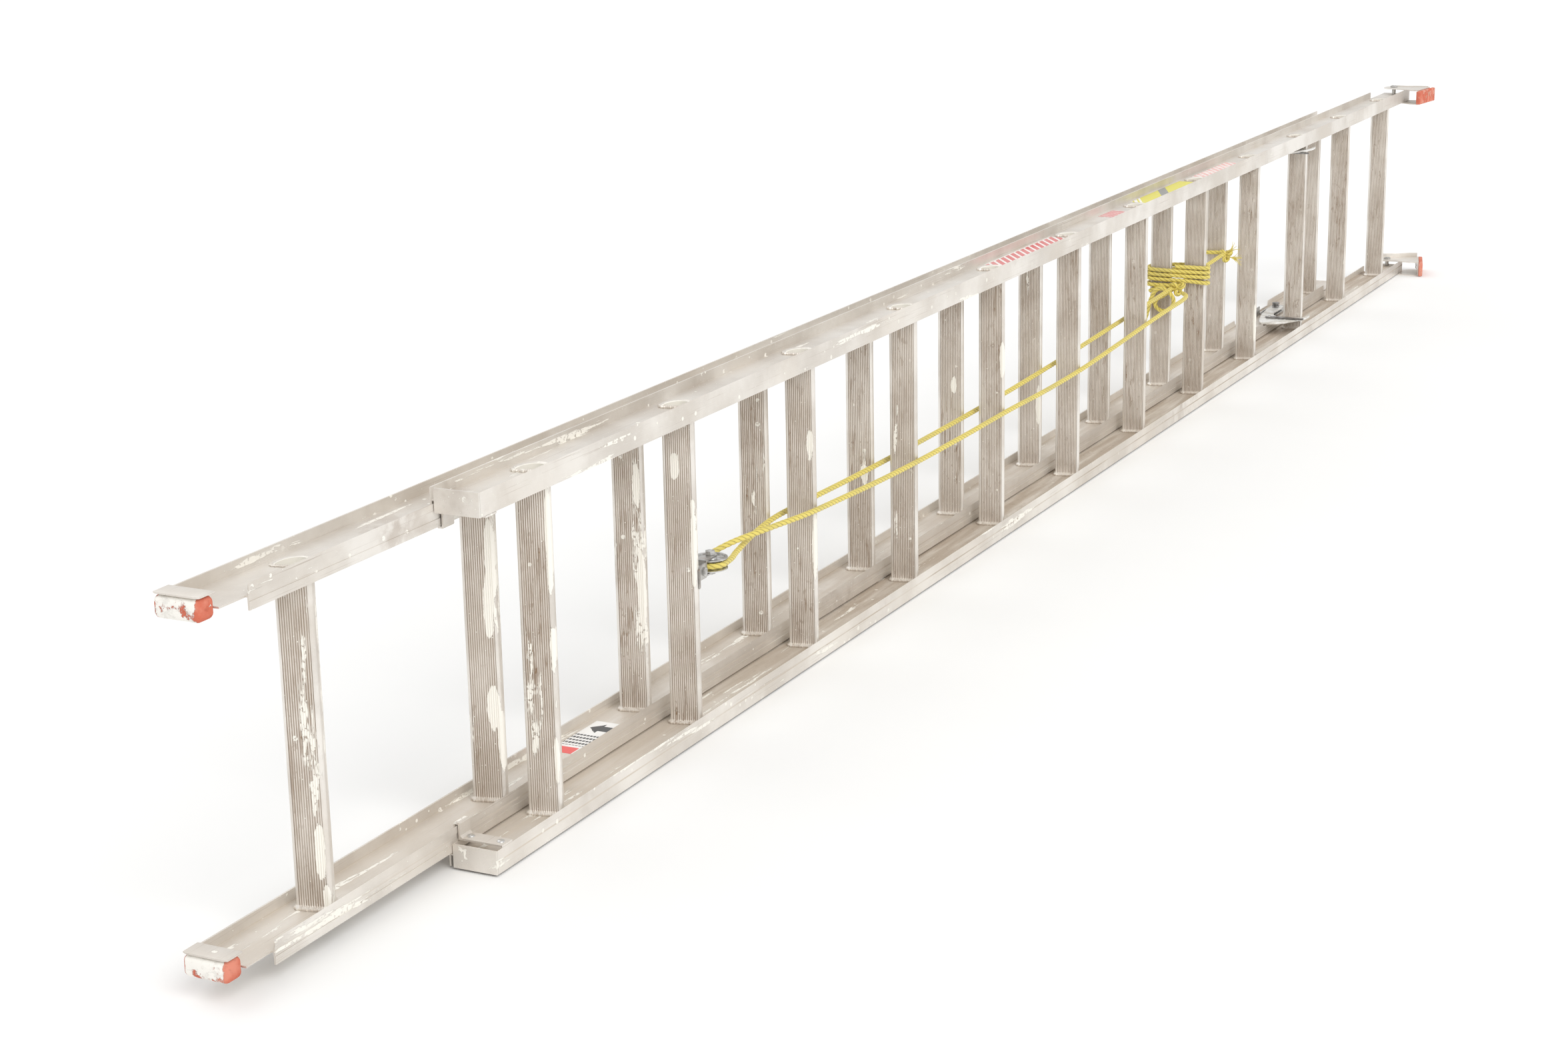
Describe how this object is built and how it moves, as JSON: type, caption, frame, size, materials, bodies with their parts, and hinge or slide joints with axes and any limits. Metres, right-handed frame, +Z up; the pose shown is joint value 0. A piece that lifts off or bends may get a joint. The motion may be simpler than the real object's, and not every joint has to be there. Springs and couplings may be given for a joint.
{
  "type": "extension ladder",
  "caption": "Two-section aluminium extension ladder with D rungs, rung locks, a rope and pulley, rubber end caps and swivel shoes, lying on one rail with its rungs upright.",
  "frame": {"origin": "centre of the object's box at floor level, lying on its lower rail", "axes": "+X along the ladder from the fly section's top end to the shoes, +Z up along the rungs, -Y the front, where the base section is"},
  "size_m": [4.0282, 0.164, 0.3988],
  "materials": {
    "aluminium": "dull, weathered mill finish with paint spatter",
    "steel": "plated, worn",
    "dark_steel": "dull, oily",
    "zinc": "zinc plated",
    "red_rubber": "matte, worn",
    "yellow_rope": "twisted plastic fibre"
  },
  "bodies": {
    "base": {"base_rail_lower": "aluminium", "base_rail_upper": "aluminium", "base_rung_01": "aluminium", "base_rung_02": "aluminium", "base_rung_03": "aluminium", "base_rung_04": "aluminium", "base_rung_05": "aluminium", "base_rung_06": "aluminium", "base_rung_07": "aluminium", "base_rung_08": "aluminium", "base_rung_09": "aluminium", "base_rung_10": "aluminium", "base_rung_11": "aluminium", "base_rung_12": "aluminium", "base_end_plate_lower": "aluminium", "base_end_plate_upper": "aluminium", "guide_bracket_lower": "aluminium", "guide_bracket_upper": "aluminium", "shoe_bolt_lower": "steel", "shoe_bolt_upper": "steel", "pulley_strap": "steel", "pulley_hanger_bolt": "zinc", "rope_front_run": "yellow_rope", "rope_rear_run": "yellow_rope", "rope_lashing": "yellow_rope"},
    "fly": {"fly_rail_lower": "aluminium", "fly_rail_upper": "aluminium", "fly_rung_01": "aluminium", "fly_rung_02": "aluminium", "fly_rung_03": "aluminium", "fly_rung_04": "aluminium", "fly_rung_05": "aluminium", "fly_rung_06": "aluminium", "fly_rung_07": "aluminium", "fly_rung_08": "aluminium", "fly_rung_09": "aluminium", "fly_rung_10": "aluminium", "fly_rung_12": "aluminium", "fly_cap_lower": "red_rubber", "fly_cap_upper": "red_rubber", "lock_bracket_lower": "steel", "lock_bracket_upper": "steel", "lock_pin_lower": "dark_steel", "lock_pin_upper": "dark_steel", "lock_spring_lower": "dark_steel", "lock_spring_upper": "dark_steel", "rope_knot": "yellow_rope"},
    "shoe_lower": {"shoe_bracket_lower": "aluminium", "shoe_pad_lower": "red_rubber"},
    "shoe_upper": {"shoe_bracket_upper": "aluminium", "shoe_pad_upper": "red_rubber"},
    "lock_hook_lower": {"lock_hook_lower": "steel"},
    "lock_hook_upper": {"lock_hook_upper": "steel"},
    "lock_tongue_lower": {"lock_tongue_lower": "dark_steel"},
    "lock_tongue_upper": {"lock_tongue_upper": "dark_steel"},
    "pulley_block": {"pulley_housing": "steel", "pulley_axle": "zinc"},
    "pulley_wheel": {"pulley_wheel": "zinc"}
  },
  "joints": [
    {"name": "fly_slide", "type": "slide", "parent": "base", "child": "fly", "axis": [-1, 0, 0], "range_m": [-0.3048, 2.4384], "deforming": ["rope_rear_run", "rope_lashing"]},
    {"name": "shoe_swivel_lower", "type": "hinge", "parent": "base", "child": "shoe_lower", "pos_m": [1.953, 0.0002, 0.015], "axis": [0, 0, 1], "range_deg": [-29, 106]},
    {"name": "shoe_swivel_upper", "type": "hinge", "parent": "base", "child": "shoe_upper", "pos_m": [1.953, 0.0002, 0.38], "axis": [0, 0, 1], "range_deg": [-8, 127]},
    {"name": "lock_swing_lower", "type": "hinge", "parent": "fly", "child": "lock_hook_lower", "pos_m": [1.2942, 0.052, 0.0305], "axis": [0, 0, -1], "range_deg": [0, 40]},
    {"name": "tongue_swing_lower", "type": "hinge", "parent": "lock_hook_lower", "child": "lock_tongue_lower", "pos_m": [1.1844, 0.0332, 0.0305], "axis": [0, 0, -1], "range_deg": [0, 50]},
    {"name": "lock_swing_upper", "type": "hinge", "parent": "fly", "child": "lock_hook_upper", "pos_m": [1.2942, 0.052, 0.3645], "axis": [0, 0, -1], "range_deg": [0, 40]},
    {"name": "tongue_swing_upper", "type": "hinge", "parent": "lock_hook_upper", "child": "lock_tongue_upper", "pos_m": [1.1844, 0.0332, 0.3645], "axis": [0, 0, -1], "range_deg": [0, 50]},
    {"name": "pulley_swing", "type": "hinge", "parent": "base", "child": "pulley_block", "pos_m": [-1.1908, -0.0028, 0.185], "axis": [0, 1, 0], "range_deg": [-20, 20], "deforming": ["rope_front_run"]},
    {"name": "wheel_spin", "type": "hinge", "parent": "pulley_block", "child": "pulley_wheel", "pos_m": [-1.1548, -0.0028, 0.185], "axis": [0, 0, 1], "continuous": true}
  ]
}
